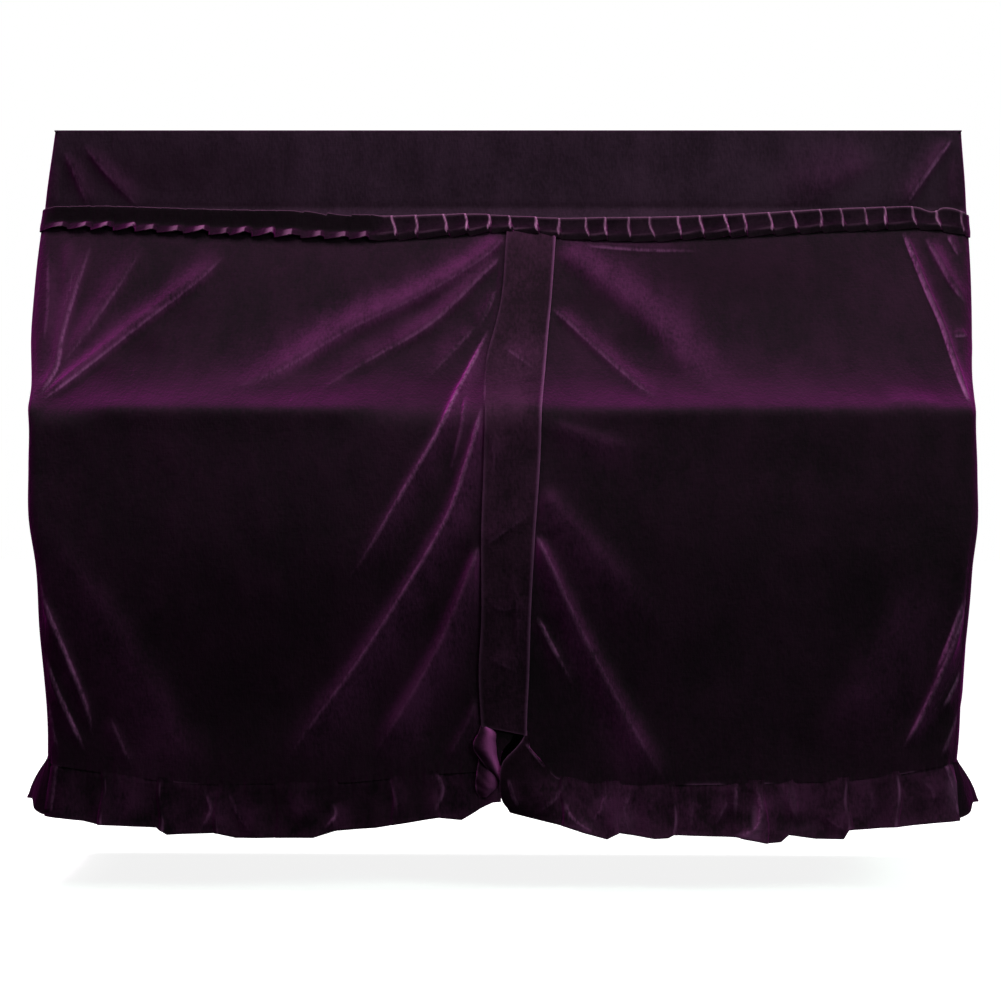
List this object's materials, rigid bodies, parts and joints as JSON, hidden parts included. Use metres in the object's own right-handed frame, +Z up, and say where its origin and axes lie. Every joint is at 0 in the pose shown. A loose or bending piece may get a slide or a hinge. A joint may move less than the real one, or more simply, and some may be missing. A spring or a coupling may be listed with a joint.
{
  "type": "piano cover",
  "caption": "Fitted velvet cover for an upright piano, hollow, with a pleated band, a front parting lapped by a placket and a gathered hem flounce.",
  "frame": {"origin": "middle of the underside of the top panel, where the piano's lid holds the cover", "axes": "+X to the right for someone at the keyboard, +Y from the keyboard side to the back, +Z up"},
  "size_m": [1.5563, 0.7239, 1.1517],
  "materials": {
    "velvet": "dark purple velvet with a bright sheen along its folds",
    "velvet_trim": "the same velvet, knife pleated with a piped upper edge"
  },
  "bodies": {
    "root": {"top_panel": "velvet", "yoke": "velvet", "curtain_left": "velvet", "curtain_right": "velvet", "placket": "velvet", "side_left": "velvet", "side_right": "velvet", "back_panel": "velvet", "trim_front": "velvet_trim", "trim_left": "velvet_trim", "trim_right": "velvet_trim", "flounce_front_left": "velvet", "flounce_front_right": "velvet", "flounce_left": "velvet", "flounce_right": "velvet", "flounce_back": "velvet"}
  },
  "joints": []
}
